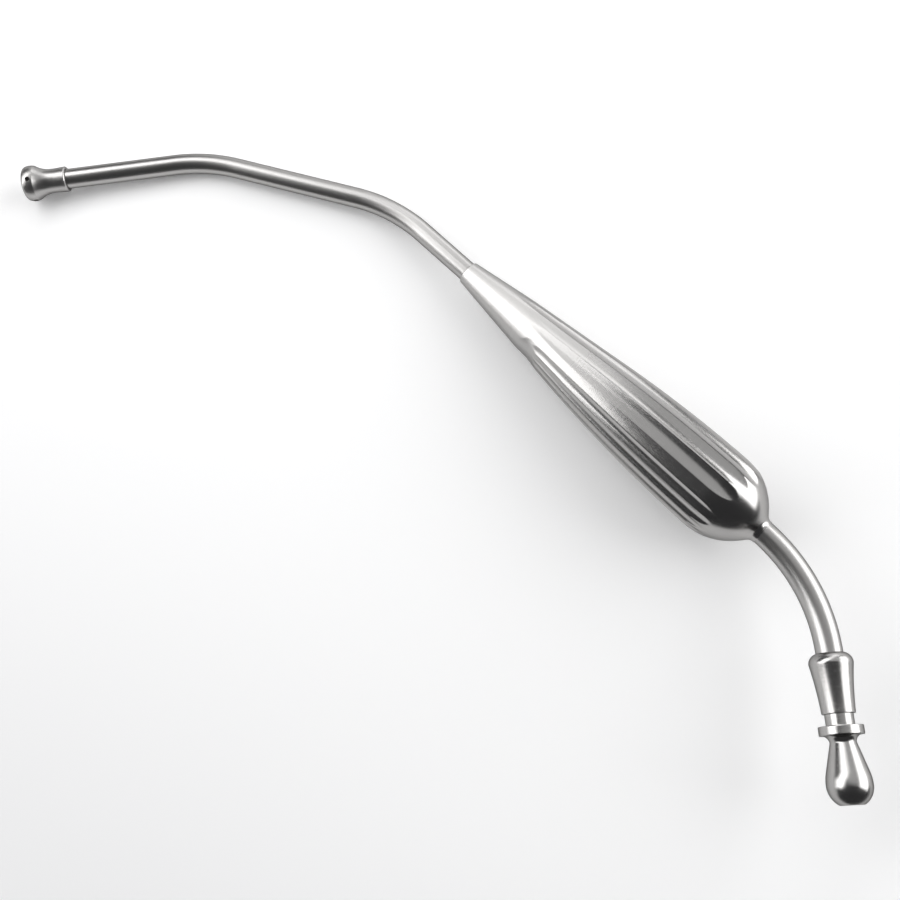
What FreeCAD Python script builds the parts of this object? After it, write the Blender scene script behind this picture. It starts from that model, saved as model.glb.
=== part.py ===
import FreeCAD, Part
import math
import os
import Sketcher

# Reusable steel suction tube of the tonsil pattern: a screw-on bell tip, a twice bent front tube,
# a hollow fluted handle, a curved tail tube, a tapered ferrule and a hose nipple.
# All centre lines lie in one plane. Every piece is drawn in that bend plane with the handle's
# axis along X from its front face, the convex side of the bends towards +Y and the upper side +Z.

VECTOR = FreeCAD.Vector
doc = FreeCAD.newDocument("suction_tube")
sheet = doc.addObject("Spreadsheet::Sheet", "sizes")

# Driving sizes in millimetres and degrees
SIZES = dict(
    # front tube and its two bends
    tube_diameter="5.5", tube_bore="3.7", tube_insert="12",
    rear_run="29", middle_run="55.7", front_run="39.8",
    rear_bend="28", front_bend="23.3", bend_radius="45",
    # bell tip
    tip_socket="5", collar_diameter="7", collar_lead="0.3", waist_diameter="6.66", waist_at="3.2",
    flare_from="4.4", bell_at="8.85", bell_diameter="9.52", flare_radius="7.8",
    band_length="2.35", band_radius="4.1", nose_length="0.85", nose_diameter="7.8", nose_radius="1.15",
    dome_height="0.4", mouth_diameter="3", tip_wall="1", tip_bore="3.8",
    side_hole="1.35", side_hole_at="9.85", side_holes="4", side_hole_turn="17",
    # handle outline
    handle_length="102", handle_front="6.53", cone_length="34.4", cone_angle="7.69", belly_at="86.2",
    shoulder_radius="17", shoulder_angle="50", neck_lip="0.12", neck_blend="1.7",
    handle_wall="1.6", front_round="0.25", throat_to="29.4",
    # broad flutes round the back and the two sides
    flute_depth="0.71", flute_angle="5.6", flute_from="6.4", flute_bend_at="47.4", flute_to="86.4",
    flute_radius="5.2", flute_shift="0.4", flute_pitch="21.7", flutes="10",
    # narrow flutes on the finger side
    rib_depth="0.5", rib_from="20.4", rib_entry="27.7", rib_level="26.9", rib_sweep="5", rib_to="86.4",
    rib_radius="2.7", rib_pitch="15", ribs="7",
    # the last stretch of either cutter's path, which dips over the shoulder
    dip_run="12", dip_radius="38",
    # finger dish in front of the narrow flutes
    dish_at="27.7", dish_depth="0.36", dish_round="24", dish_shift="0.9",
    # tail tube
    tail_diameter="6.4", tail_bore="5.5", tail_insert="7.5", tail_angle="41.6", tail_radius="45.5",
    # ferrule
    ferrule_length="14", ferrule_lip="0.25", ferrule_crown="10.3", crown_at="2.4", crown_radius="2.48",
    ferrule_end="7.75", taper_radius="90", ferrule_socket="7", ferrule_passage="5.2", ferrule_round="0.2",
    # hose nipple
    nipple_neck="6.6", spigot_length="5", neck_length="2.7",
    flange_diameter="10.35", flange_thickness="2.15", flange_round="0.35",
    root_diameter="8.6", root_length="1.6", stem_diameter="6.04", root_radius="1.9",
    bulb_from="8", bulb_entry="9.6", bulb_at="11", bulb_diameter="10.5", bulb_bow="10.3",
    nipple_length="15.5", bulb_round="5.06", nipple_end="5.6", nipple_bore="4.9",
    olive_wall="0.9", olive_from="4",
)

# Sizes that follow from the driving ones
DERIVED = dict(
    rear_tangent="=bend_radius * tan(rear_bend / 2)",
    front_tangent="=bend_radius * tan(front_bend / 2)",
    both_bends="=rear_bend + front_bend",
    bend_one_x="=rear_tangent - rear_run",
    bend_two_x="=bend_one_x - bend_radius * sin(rear_bend)",
    bend_two_y="=bend_radius * (cos(rear_bend) - 1)",
    middle_length="=middle_run - rear_tangent - front_tangent",
    bend_three_x="=bend_two_x - middle_length * cos(rear_bend)",
    bend_three_y="=bend_two_y - middle_length * sin(rear_bend)",
    bend_four_x="=bend_three_x - bend_radius * (sin(both_bends) - sin(rear_bend))",
    bend_four_y="=bend_three_y + bend_radius * (cos(both_bends) - cos(rear_bend))",
    collar_x="=bend_four_x - (front_run - front_tangent) * cos(both_bends)",
    collar_y="=bend_four_y - (front_run - front_tangent) * sin(both_bends)",
    tube_end_x="=collar_x - tip_socket * cos(both_bends)",
    tube_end_y="=collar_y - tip_socket * sin(both_bends)",
    cone_end="=handle_front / 2 + cone_length * tan(cone_angle)",
    bow_radius="=(belly_at - cone_length) / sin(cone_angle)",
    belly="=cone_end + (belly_at - cone_length) * tan(cone_angle / 2)",
    shoulder_x="=belly_at + shoulder_radius * sin(shoulder_angle)",
    shoulder_y="=belly - shoulder_radius * (1 - cos(shoulder_angle))",
    neck="=tail_diameter / 2 + neck_lip",
    neck_x="=shoulder_x + (shoulder_y - neck) / tan(shoulder_angle)",
    neck_tangent="=neck_blend * tan(shoulder_angle / 2)",
    blend_x="=neck_x - neck_tangent * cos(shoulder_angle)",
    blend_y="=neck + neck_tangent * sin(shoulder_angle)",
    side_wall="=handle_wall / cos(cone_angle)",
    cavity_cone="=cone_end - side_wall",
    cavity_round="=shoulder_radius - handle_wall",
    cavity_drop="=acos(1 - (cavity_belly - tail_diameter / 2) / cavity_round)",
    cavity_belly="=cavity_cone + (belly_at - cone_length) * tan(cone_angle / 2)",
    cavity_end_x="=belly_at + cavity_round * sin(cavity_drop)",
    flute_c="=belly - flute_depth + flute_radius",
    flute_b="=flute_c - (flute_to - flute_bend_at) * tan(flute_angle / 2)",
    flute_a="=flute_b - (flute_bend_at - flute_from) * tan(flute_angle)",
    flute_bow="=(flute_to - flute_bend_at) / sin(flute_angle)",
    flute_span="=flute_pitch * (flutes - 1)",
    dip="=dip_radius - sqrt(dip_radius * dip_radius - dip_run * dip_run)",
    rib_a="=handle_front / 2 + rib_entry * tan(cone_angle) + rib_radius",
    rib_c="=belly - rib_depth + rib_radius",
    rib_angle="=2 * atan((rib_c - rib_a) / (rib_to - rib_level))",
    rib_b="=rib_a + rib_sweep * tan(rib_angle / 2)",
    rib_b_x="=rib_level + rib_sweep",
    rib_turn="=rib_sweep / sin(rib_angle)",
    rib_bow="=(rib_to - rib_b_x) / sin(rib_angle)",
    rib_span="=rib_pitch * (ribs - 1)",
    dish_reach="=dish_round - dish_depth",
    dish_x="=dish_at - dish_reach * sin(cone_angle)",
    dish_y="=handle_front / 2 + dish_at * tan(cone_angle) + dish_reach * cos(cone_angle)",
    tail_x="=handle_length + tail_radius * sin(tail_angle)",
    tail_y="=tail_radius * (cos(tail_angle) - 1)",
    ferrule_wall_x="=ferrule_length - spigot_length",
    tail_end_x="=tail_x + ferrule_socket * cos(tail_angle)",
    tail_end_y="=tail_y - ferrule_socket * sin(tail_angle)",
    nipple_x="=tail_x + ferrule_length * cos(tail_angle)",
    nipple_y="=tail_y - ferrule_length * sin(tail_angle)",
    flange_back="=neck_length + flange_thickness",
    nose_at="=bell_at + band_length",
    nose_face="=nose_at + nose_length",
    tip_length="=nose_face + dome_height",
    olive_round="=bulb_round - olive_wall",
    olive_drop="=nipple_bore / 2 - bulb_diameter / 2 + bulb_round",
    olive_end="=bulb_at + sqrt(olive_round * olive_round - olive_drop * olive_drop)",
    dome_radius="=(nose_diameter * nose_diameter / 4 + dome_height * dome_height) / (2 * dome_height)",
)


def fill_sheet():
    row = 0
    for name, text in list(SIZES.items()) + list(DERIVED.items()):
        row += 1
        sheet.set("A%d" % row, name)
        sheet.set("B%d" % row, text)
        sheet.setAlias("B%d" % row, name)
    for turn in range(4):
        doc.recompute()


def ref(name):
    return "sizes." + name


def value(text):
    return float(sheet.evalExpression(text))


def new_body(name):
    body = doc.addObject("PartDesign::Body", name)
    body.Label = name
    return body


def plane(body, role):
    for feature in body.Origin.OriginFeatures:
        if feature.Role == role:
            return feature


def new_sketch(body, name, role="XY_Plane"):
    sketch = body.newObject("Sketcher::SketchObject", name)
    sketch.AttachmentSupport = [(plane(body, role), "")]
    sketch.MapMode = "FlatFace"
    return sketch


def bind(sketch, kind, geometry, end, text):
    if text == "0":
        line = -2 if kind == "DistanceX" else -1
        sketch.addConstraint(Sketcher.Constraint("PointOnObject", geometry, end, line))
        return
    index = sketch.addConstraint(Sketcher.Constraint(kind, geometry, end, value(text)))
    sketch.setExpression("Constraints[%d]" % index, text)


def pin(sketch, geometry, end, point):
    bind(sketch, "DistanceX", geometry, end, point[0])
    bind(sketch, "DistanceY", geometry, end, point[1])


def arc_between(start, end, radius, left):
    # The arc that runs from start to end and turns left or right on the way
    chord = end - start
    half = chord.Length / 2
    rise = math.sqrt(radius * radius - half * half)
    side = VECTOR(-chord.y, chord.x, 0).normalize() * (rise if left else -rise)
    centre = (start + end) * 0.5 + side
    circle = Part.Circle(centre, VECTOR(0, 0, 1), radius)
    first = math.atan2(start.y - centre.y, start.x - centre.x)
    last = math.atan2(end.y - centre.y, end.x - centre.x)
    if left:
        return Part.ArcOfCircle(circle, first, last)
    return Part.ArcOfCircle(circle, last, first)


def draw(sketch, start, steps, closed=True):
    # A step is the next point, or the next point with an arc's radius and its turn
    here = VECTOR(value(start[0]), value(start[1]), 0)
    before = None
    for number, step in enumerate(steps):
        there = VECTOR(value(step[0]), value(step[1]), 0)
        head, tail = 1, 2
        if len(step) == 2:
            index = sketch.addGeometry(Part.LineSegment(here, there), False)
        else:
            left = step[3] == "left"
            head, tail = (1, 2) if left else (2, 1)
            index = sketch.addGeometry(arc_between(here, there, value(step[2]), left), False)
            limit = sketch.addConstraint(Sketcher.Constraint("Radius", index, value(step[2])))
            sketch.setExpression("Constraints[%d]" % limit, step[2])
        if before is None:
            first = (index, head)
            pin(sketch, index, head, start)
        else:
            sketch.addConstraint(Sketcher.Constraint("Coincident", before[0], before[1], index, head))
        if closed and number == len(steps) - 1:
            sketch.addConstraint(Sketcher.Constraint("Coincident", index, tail, first[0], first[1]))
        else:
            pin(sketch, index, tail, step)
        before = (index, tail)
        here = there
    return sketch


def circle(sketch, centre, radius):
    middle = VECTOR(value(centre[0]), value(centre[1]), 0)
    index = sketch.addGeometry(Part.Circle(middle, VECTOR(0, 0, 1), value(radius)), False)
    pin(sketch, index, 3, centre)
    limit = sketch.addConstraint(Sketcher.Constraint("Radius", index, value(radius)))
    sketch.setExpression("Constraints[%d]" % limit, radius)
    return sketch


def turned(body, kind, name, sketch):
    # Revolution or Groove once round the sketch's own X axis
    feature = body.newObject("PartDesign::" + kind, name)
    feature.Profile = sketch
    feature.ReferenceAxis = (sketch, ["H_Axis"])
    feature.Angle = 360
    body.Tip = feature
    return feature


def swept(body, kind, name, section, path):
    feature = body.newObject("PartDesign::" + kind, name)
    feature.Profile = section
    feature.Spine = path
    feature.Transition = "Transformed"
    body.Tip = feature
    return feature


def rounded(body, name, size, keep):
    # Fillet on the tip feature's edges that the test picks
    doc.recompute()
    base = body.Tip
    picked = []
    for number, edge in enumerate(base.Shape.Edges):
        if keep(edge):
            picked.append("Edge%d" % (number + 1))
    feature = body.newObject("PartDesign::Fillet", name)
    feature.Base = (base, picked)
    feature.setExpression("Radius", size)
    body.Tip = feature
    return feature


def ring_edge(x_name, radius_name):
    # Picks the round edge at a given place along X with a given radius
    def keep(edge):
        place = value(x_name)
        radius = value(radius_name)
        if edge.Curve.TypeId != "Part::GeomCircle":
            return False
        return abs(edge.Curve.Center.x - place) < 0.01 and abs(edge.Curve.Radius - radius) < 0.01
    return keep


def tube_section(body, name, x_name, width_name):
    section = new_sketch(body, name, "YZ_Plane")
    section.setExpression("AttachmentOffset.Base.z", x_name)
    return circle(section, ("0", "0"), ref(width_name) + " / 2")


# Front tube: one drawn tube with two bends the same way
def front_tube():
    body = new_body("front_tube")
    path = new_sketch(body, "front_tube_path")
    bend = ref("bend_radius")
    draw(path, (ref("tube_insert"), "0"), [
        (ref("bend_one_x"), "0"),
        (ref("bend_two_x"), ref("bend_two_y"), bend, "left"),
        (ref("bend_three_x"), ref("bend_three_y")),
        (ref("bend_four_x"), ref("bend_four_y"), bend, "left"),
        (ref("tube_end_x"), ref("tube_end_y")),
    ], closed=False)
    outside = tube_section(body, "front_tube_outside", ref("tube_insert"), "tube_diameter")
    swept(body, "AdditivePipe", "front_tube_wall", outside, path)
    inside = tube_section(body, "front_tube_inside", ref("tube_insert"), "tube_bore")
    swept(body, "SubtractivePipe", "front_tube_lumen", inside, path)
    return body


# Tail tube: the short curved tube between handle and ferrule
def tail_tube():
    body = new_body("tail_tube")
    start = ref("handle_length") + " - " + ref("tail_insert")
    path = new_sketch(body, "tail_tube_path")
    draw(path, (start, "0"), [
        (ref("handle_length"), "0"),
        (ref("tail_x"), ref("tail_y"), ref("tail_radius"), "right"),
        (ref("tail_end_x"), ref("tail_end_y")),
    ], closed=False)
    outside = tube_section(body, "tail_tube_outside", start, "tail_diameter")
    swept(body, "AdditivePipe", "tail_tube_wall", outside, path)
    inside = tube_section(body, "tail_tube_inside", start, "tail_bore")
    swept(body, "SubtractivePipe", "tail_tube_lumen", inside, path)
    return body


# Suction tip: collar, waist, concave flare, band with side holes and a domed nose with its mouth
def suction_tip():
    body = new_body("suction_tip")
    outline = new_sketch(body, "tip_outline")
    draw(outline, ("0", ref("tube_diameter") + " / 2"), [
        ("0", ref("collar_diameter") + " / 2 - " + ref("collar_lead")),
        (ref("collar_lead"), ref("collar_diameter") + " / 2"),
        (ref("waist_at"), ref("waist_diameter") + " / 2"),
        (ref("flare_from"), ref("waist_diameter") + " / 2"),
        (ref("bell_at"), ref("bell_diameter") + " / 2", ref("flare_radius"), "left"),
        (ref("nose_at"), ref("bell_diameter") + " / 2", ref("band_radius"), "right"),
        (ref("nose_face"), ref("nose_diameter") + " / 2", ref("nose_radius"), "right"),
        (ref("tip_length"), "0", ref("dome_radius"), "right"),
        (ref("tip_length") + " - " + ref("tip_wall"), "0"),
        (ref("nose_face") + " - " + ref("tip_wall"), ref("nose_diameter") + " / 2 - " + ref("tip_wall")),
        (ref("bell_at") + " - " + ref("tip_wall"), ref("tip_bore") + " / 2"),
        (ref("tip_socket"), ref("tip_bore") + " / 2"),
        (ref("tip_socket"), ref("tube_diameter") + " / 2"),
        ("0", ref("tube_diameter") + " / 2"),
    ])
    turned(body, "Revolution", "tip_turning", outline)
    mouth = new_sketch(body, "mouth_outline", "YZ_Plane")
    mouth.setExpression("AttachmentOffset.Base.z", ref("tip_length"))
    circle(mouth, ("0", "0"), ref("mouth_diameter") + " / 2")
    drill(body, "mouth", mouth, ref("tip_wall") + " * 2", True)
    side = new_sketch(body, "side_hole_outline", "XY_Plane")
    side.AttachmentOffset = FreeCAD.Placement(VECTOR(0, 0, 0), FreeCAD.Rotation(VECTOR(1, 0, 0), -1))
    side.setExpression("AttachmentOffset.Rotation.Angle", "-" + ref("side_hole_turn"))
    circle(side, (ref("side_hole_at"), "0"), ref("side_hole") + " / 2")
    hole = drill(body, "side_hole", side, ref("bell_diameter"), False)
    around(body, "side_hole_ring", hole, outline, ref("side_holes"), "360")
    return body


def drill(body, name, sketch, depth, down):
    feature = body.newObject("PartDesign::Pocket", name)
    feature.Profile = sketch
    feature.setExpression("Length", depth)
    feature.Reversed = not down
    body.Tip = feature
    return feature


def around(body, name, original, axis_sketch, count, span):
    feature = body.newObject("PartDesign::PolarPattern", name)
    feature.Originals = [original]
    feature.Axis = (axis_sketch, ["H_Axis"])
    feature.setExpression("Angle", span)
    feature.setExpression("Occurrences", count)
    body.Tip = feature
    return feature


# Handle: a hollow shell turned to a long cone with a round shoulder, then fluted
def handle():
    body = new_body("handle")
    outline = new_sketch(body, "handle_outline")
    neck = ref("neck")
    draw(outline, ("0", "0"), [
        ("0", ref("handle_front") + " / 2"),
        (ref("cone_length"), ref("cone_end")),
        (ref("belly_at"), ref("belly"), ref("bow_radius"), "right"),
        (ref("shoulder_x"), ref("shoulder_y"), ref("shoulder_radius"), "right"),
        (ref("blend_x"), ref("blend_y")),
        (ref("neck_x") + " + " + ref("neck_tangent"), neck, ref("neck_blend"), "left"),
        (ref("handle_length"), neck),
        (ref("handle_length"), "0"),
        ("0", "0"),
    ])
    turned(body, "Revolution", "handle_turning", outline)
    rounded(body, "front_edge", ref("front_round"), ring_edge("0", ref("handle_front") + " / 2"))
    finger_dish(body)
    broad_flutes(body)
    narrow_flutes(body)
    cavity(body)
    return body


def finger_dish(body):
    sketch = new_sketch(body, "dish_outline")
    sketch.setExpression("AttachmentOffset.Base.y", ref("dish_shift"))
    centre = (ref("dish_x"), "-(" + ref("dish_y") + " + " + ref("dish_shift") + ")")
    circle(sketch, centre, ref("dish_round"))
    turned(body, "Groove", "finger_dish", sketch)


def flute_frame(body, name, shift, turn, start, height, radius):
    # The round cutter at the start of its path, in the half plane turned round the handle
    section = new_sketch(body, name, "YZ_Plane")
    section.AttachmentOffset = FreeCAD.Placement(VECTOR(0, 0, 0), FreeCAD.Rotation(VECTOR(0, 0, 1), 1))
    section.setExpression("AttachmentOffset.Base.x", shift)
    section.setExpression("AttachmentOffset.Base.z", start)
    section.setExpression("AttachmentOffset.Rotation.Angle", turn)
    return circle(section, (height, "0"), radius)


def flute_path(body, name, shift, turn):
    path = new_sketch(body, name)
    path.AttachmentOffset = FreeCAD.Placement(VECTOR(0, 0, 0), FreeCAD.Rotation(VECTOR(1, 0, 0), 1))
    path.setExpression("AttachmentOffset.Base.y", shift)
    path.setExpression("AttachmentOffset.Rotation.Angle", turn)
    return path


def dip_over(end, height):
    # The step of a cutter's path that takes it down over the shoulder
    return (ref(end) + " + " + ref("dip_run"), ref(height) + " - " + ref("dip"), ref("dip_radius"), "right")


def broad_flutes(body):
    # The cutter rises out of the cone in front and dips over the shoulder behind
    shift = "-" + ref("flute_shift")
    turn = "-" + ref("flute_span") + " / 2"
    path = flute_path(body, "flute_path", shift, turn)
    draw(path, (ref("flute_from"), ref("flute_a")), [
        (ref("flute_bend_at"), ref("flute_b")),
        (ref("flute_to"), ref("flute_c"), ref("flute_bow"), "right"),
        dip_over("flute_to", "flute_c"),
    ], closed=False)
    size = ref("flute_radius")
    section = flute_frame(body, "flute_section", shift, turn, ref("flute_from"), ref("flute_a"), size)
    flute = swept(body, "SubtractivePipe", "broad_flute", section, path)
    around(body, "broad_flutes", flute, path, ref("flutes"), ref("flute_span"))


def narrow_flutes(body):
    # The cutter sinks into the finger side behind the dish and dips over the shoulder
    turn = "180 - " + ref("rib_span") + " / 2"
    path = flute_path(body, "rib_path", "0", turn)
    draw(path, (ref("rib_from"), ref("rib_a")), [
        (ref("rib_level"), ref("rib_a")),
        (ref("rib_b_x"), ref("rib_b"), ref("rib_turn"), "left"),
        (ref("rib_to"), ref("rib_c"), ref("rib_bow"), "right"),
        dip_over("rib_to", "rib_c"),
    ], closed=False)
    size = ref("rib_radius")
    section = flute_frame(body, "rib_section", "0", turn, ref("rib_from"), ref("rib_a"), size)
    flute = swept(body, "SubtractivePipe", "narrow_flute", section, path)
    around(body, "narrow_flutes", flute, path, ref("ribs"), ref("rib_span"))


def cavity(body):
    # Socket for the front tube, the throat, the hollow that follows the outside, and the neck's bore
    sketch = new_sketch(body, "cavity_outline")
    front = ref("tube_diameter") + " / 2"
    back = ref("tail_diameter") + " / 2"
    draw(sketch, ("0", "0"), [
        ("0", front),
        (ref("tube_insert"), front),
        (ref("tube_insert"), ref("tube_bore") + " / 2"),
        (ref("throat_to"), ref("tube_bore") + " / 2"),
        (ref("cone_length"), ref("cavity_cone")),
        (ref("belly_at"), ref("cavity_belly"), ref("bow_radius"), "right"),
        (ref("cavity_end_x"), back, ref("cavity_round"), "right"),
        (ref("handle_length"), back),
        (ref("handle_length"), "0"),
        ("0", "0"),
    ])
    turned(body, "Groove", "hollow", sketch)


# Ferrule: the tapered collar that joins tail tube and nipple
def hose_ferrule():
    body = new_body("hose_ferrule")
    outline = new_sketch(body, "ferrule_outline")
    tail = ref("tail_diameter") + " / 2"
    draw(outline, ("0", tail), [
        ("0", tail + " + " + ref("ferrule_lip")),
        (ref("crown_at"), ref("ferrule_crown") + " / 2", ref("crown_radius"), "right"),
        (ref("ferrule_length"), ref("ferrule_end") + " / 2", ref("taper_radius"), "left"),
        (ref("ferrule_length"), ref("nipple_neck") + " / 2"),
        (ref("ferrule_wall_x"), ref("nipple_neck") + " / 2"),
        (ref("ferrule_wall_x"), ref("ferrule_passage") + " / 2"),
        (ref("ferrule_socket"), ref("ferrule_passage") + " / 2"),
        (ref("ferrule_socket"), tail),
        ("0", tail),
    ])
    turned(body, "Revolution", "ferrule_turning", outline)
    edge = ring_edge(ref("ferrule_length"), ref("ferrule_end") + " / 2")
    rounded(body, "ferrule_end_edge", ref("ferrule_round"), edge)
    return body


# Nipple: spigot and neck, stop flange and the olive that the suction hose is pushed over
def hose_nipple():
    body = new_body("hose_nipple")
    outline = new_sketch(body, "nipple_outline")
    back = ref("flange_back")
    bore = ref("nipple_bore") + " / 2"
    neck = ref("nipple_neck") + " / 2"
    wall = ref("olive_wall")
    draw(outline, ("-" + ref("spigot_length"), bore), [
        ("-" + ref("spigot_length"), neck),
        (ref("neck_length"), neck),
        (ref("neck_length"), ref("flange_diameter") + " / 2"),
        (back, ref("flange_diameter") + " / 2"),
        (back, ref("root_diameter") + " / 2"),
        (back + " + " + ref("root_length"), ref("stem_diameter") + " / 2", ref("root_radius"), "left"),
        (back + " + " + ref("bulb_from"), ref("bulb_entry") + " / 2"),
        (back + " + " + ref("bulb_at"), ref("bulb_diameter") + " / 2", ref("bulb_bow"), "right"),
        (back + " + " + ref("nipple_length"), ref("nipple_end") + " / 2", ref("bulb_round"), "right"),
        (back + " + " + ref("nipple_length"), bore),
        (back + " + " + ref("olive_end"), bore),
        (back + " + " + ref("bulb_at"), ref("bulb_diameter") + " / 2 - " + wall, ref("olive_round"), "left"),
        (back + " + " + ref("bulb_from"), ref("bulb_entry") + " / 2 - " + wall),
        (back + " + " + ref("olive_from"), bore),
        ("-" + ref("spigot_length"), bore),
    ])
    turned(body, "Revolution", "nipple_turning", outline)
    rim = ref("flange_diameter") + " / 2"
    rounded(body, "flange_front_edge", ref("flange_round"), ring_edge(ref("neck_length"), rim))
    rounded(body, "flange_back_edge", ref("flange_round"), ring_edge(back, rim))
    return body


def turned_to(angle, x_name, y_name):
    place = VECTOR(value(ref(x_name)), value(ref(y_name)), 0)
    return FreeCAD.Placement(place, FreeCAD.Rotation(VECTOR(0, 0, 1), angle))


def lowest(points, down):
    return max(points, key=lambda point: point.dot(down))


def resting_turn(bodies):
    # The way down for which tip, front tube and handle touch one level floor
    clouds = [body.Shape.tessellate(0.02)[0] for body in bodies]
    down = VECTOR(0, 0, -1)
    for turn in range(40):
        one, two, three = [lowest(points, down) for points in clouds]
        normal = (two - one).cross(three - one).normalize()
        down = normal if normal.z < 0 else normal * -1
    return FreeCAD.Rotation(down, VECTOR(0, 0, -1))


def lay_down(bodies, supports):
    # Laid on the floor as it comes to rest, its length along X, centred over the origin
    rest = FreeCAD.Placement(VECTOR(0, 0, 0), resting_turn(supports))
    nose = rest.multVec(bodies["suction_tip"].Placement.Base)
    hose = rest.multVec(bodies["hose_nipple"].Placement.Base)
    length = nose - hose
    yaw = FreeCAD.Rotation(VECTOR(0, 0, 1), -math.degrees(math.atan2(length.y, length.x)))
    rest = FreeCAD.Placement(VECTOR(0, 0, 0), yaw) * rest
    for body in bodies.values():
        body.Placement = rest * body.Placement
    doc.recompute()
    box = FreeCAD.BoundBox()
    for body in bodies.values():
        box.add(body.Shape.optimalBoundingBox(False))
    shift = FreeCAD.Placement(VECTOR(-box.Center.x, -box.Center.y, -box.ZMin), FreeCAD.Rotation())
    for body in bodies.values():
        body.Placement = shift * body.Placement
    doc.recompute()


def check_all():
    for item in doc.Objects:
        if "Invalid" in item.State or "Error" in item.State:
            raise RuntimeError("not built: " + item.Name)
        if hasattr(item, "Shape") and item.TypeId == "PartDesign::Body":
            if item.Shape.isNull() or not item.Shape.isValid():
                raise RuntimeError("not valid: " + item.Name)


def main():
    fill_sheet()
    bodies = {}
    for build in (suction_tip, front_tube, handle, tail_tube, hose_ferrule, hose_nipple):
        body = build()
        bodies[body.Label] = body
        doc.recompute()
    bodies["suction_tip"].Placement = turned_to(180 + value(ref("both_bends")), "collar_x", "collar_y")
    bodies["hose_ferrule"].Placement = turned_to(-value(ref("tail_angle")), "tail_x", "tail_y")
    bodies["hose_nipple"].Placement = turned_to(-value(ref("tail_angle")), "nipple_x", "nipple_y")
    doc.recompute()
    lay_down(bodies, [bodies["suction_tip"], bodies["front_tube"], bodies["handle"]])
    check_all()
    os.makedirs("parts", exist_ok=True)
    for name, body in bodies.items():
        body.Shape.exportStep("parts/" + name + ".step")
        print(name, round(body.Shape.Volume, 1), "mm3")


main()
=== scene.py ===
import math
import bpy
import numpy as np
from mathutils import Matrix, Vector


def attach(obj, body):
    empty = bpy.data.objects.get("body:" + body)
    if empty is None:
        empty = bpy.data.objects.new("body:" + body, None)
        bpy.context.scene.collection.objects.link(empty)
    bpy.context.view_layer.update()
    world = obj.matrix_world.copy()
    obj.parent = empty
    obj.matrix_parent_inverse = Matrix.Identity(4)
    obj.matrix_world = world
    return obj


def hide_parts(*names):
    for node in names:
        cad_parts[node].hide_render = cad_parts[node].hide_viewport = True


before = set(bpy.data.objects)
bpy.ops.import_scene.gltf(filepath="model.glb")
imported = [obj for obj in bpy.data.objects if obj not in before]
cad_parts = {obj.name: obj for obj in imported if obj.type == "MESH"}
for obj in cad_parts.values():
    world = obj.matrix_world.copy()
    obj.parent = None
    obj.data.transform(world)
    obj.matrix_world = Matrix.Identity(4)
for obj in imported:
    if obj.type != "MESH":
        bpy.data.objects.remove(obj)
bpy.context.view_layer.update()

MM = 0.001

# The handle's own frame as it lies at rest: X from its front face to the tail, Z its upper side
REST = Matrix((
    (-0.98628367, -0.15415503, 0.05899794, 0.01538123),
    (0.14541292, -0.98061542, -0.13133350, -0.02632448),
    (0.07810000, -0.12095302, 0.98958110, 0.00560389),
    (0.0, 0.0, 0.0, 1.0),
))


def sin(degrees):
    return math.sin(math.radians(degrees))


def cos(degrees):
    return math.cos(math.radians(degrees))


def tan(degrees):
    return math.tan(math.radians(degrees))


# ---- sizes, in millimetres and degrees, as in the solids

# Tubes: widths and bores are diameters
TUBE, TUBE_BORE, TUBE_INSERT = 5.5, 3.7, 12.0
REAR_RUN, MIDDLE_RUN, FRONT_RUN = 29.0, 55.7, 39.8
REAR_BEND, FRONT_BEND, BEND_RADIUS = 28.0, 23.3, 45.0
TAIL, TAIL_BORE, TAIL_INSERT = 6.4, 5.5, 7.5
TAIL_ANGLE, TAIL_RADIUS = 41.6, 45.5
RING_POINTS, BEND_STEPS = 72, 56

# Tip, ferrule and nipple: widths are radii, and AT, FROM and TO are places along the piece
TIP_SOCKET, TIP_WALL, TIP_BORE = 5.0, 1.0, 1.9
COLLAR, COLLAR_LEAD, WAIST, WAIST_AT, FLARE_FROM = 3.5, 0.3, 3.33, 3.2, 4.4
BELL, BELL_AT, BELL_FLARE, BAND_TO, BAND_BULGE = 4.76, 8.85, 7.8, 11.2, 4.1
NOSE, NOSE_AT, NOSE_EDGE, DOME = 3.9, 12.05, 1.15, 19.2125
MOUTH, MOUTH_AT = 1.5, 12.39
SIDE_HOLE, SIDE_HOLE_AT, SIDE_HOLES, SIDE_HOLE_TURN = 0.675, 9.85, 4, -17.0

FERRULE_LENGTH, FERRULE_SOCKET, FERRULE_LIP = 14.0, 7.0, 0.25
CROWN, CROWN_AT, CROWN_EDGE = 5.15, 2.4, 2.48
FERRULE_END, FERRULE_TAPER, PASSAGE = 3.875, 90.0, 2.6

NIPPLE_BORE, NIPPLE_NECK, SPIGOT_LENGTH = 2.45, 3.3, 5.0
FLANGE, FLANGE_AT, FLANGE_TO = 5.175, 2.7, 4.85
ROOT, ROOT_FILLET, ROOT_TO, STEM = 4.3, 1.9, 6.45, 3.02
OLIVE, OLIVE_FROM, OLIVE_AT, OLIVE_TO, OLIVE_WALL = 5.25, 12.85, 15.85, 20.35, 0.9
OLIVE_START, OLIVE_BOW, OLIVE_ROUND, OLIVE_END = 4.8, 10.3, 5.06, 2.8
HOLLOW_FROM, HOLLOW_TO = 8.85, 19.34

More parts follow.
